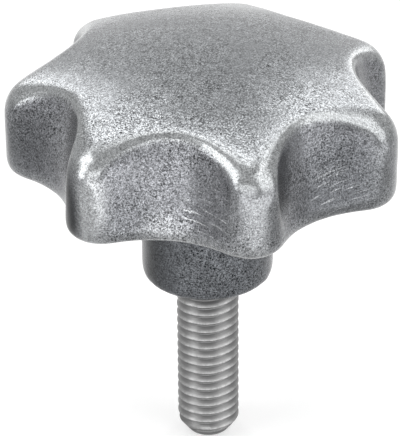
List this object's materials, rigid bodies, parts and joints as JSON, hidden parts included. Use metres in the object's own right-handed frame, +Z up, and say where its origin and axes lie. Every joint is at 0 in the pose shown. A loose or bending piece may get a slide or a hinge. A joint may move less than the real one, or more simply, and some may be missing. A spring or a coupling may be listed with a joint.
{
  "type": "star knob",
  "caption": "Cast star knob with rounded lobes, a domed crown and a hub, and a threaded stud for clamping by hand.",
  "frame": {"origin": "centre of the hub's seating face, where the stud leaves it", "axes": "+Z up the stud's axis to the crown, so the stud points along -Z; one lobe lies along +X"},
  "size_m": [0.048, 0.049, 0.0555],
  "materials": {
    "tumbled_casting": "tumbled satin",
    "stud_steel": "rolled thread, bright"
  },
  "bodies": {
    "root": {"star_head": "tumbled_casting", "threaded_stud": "stud_steel"}
  },
  "joints": []
}
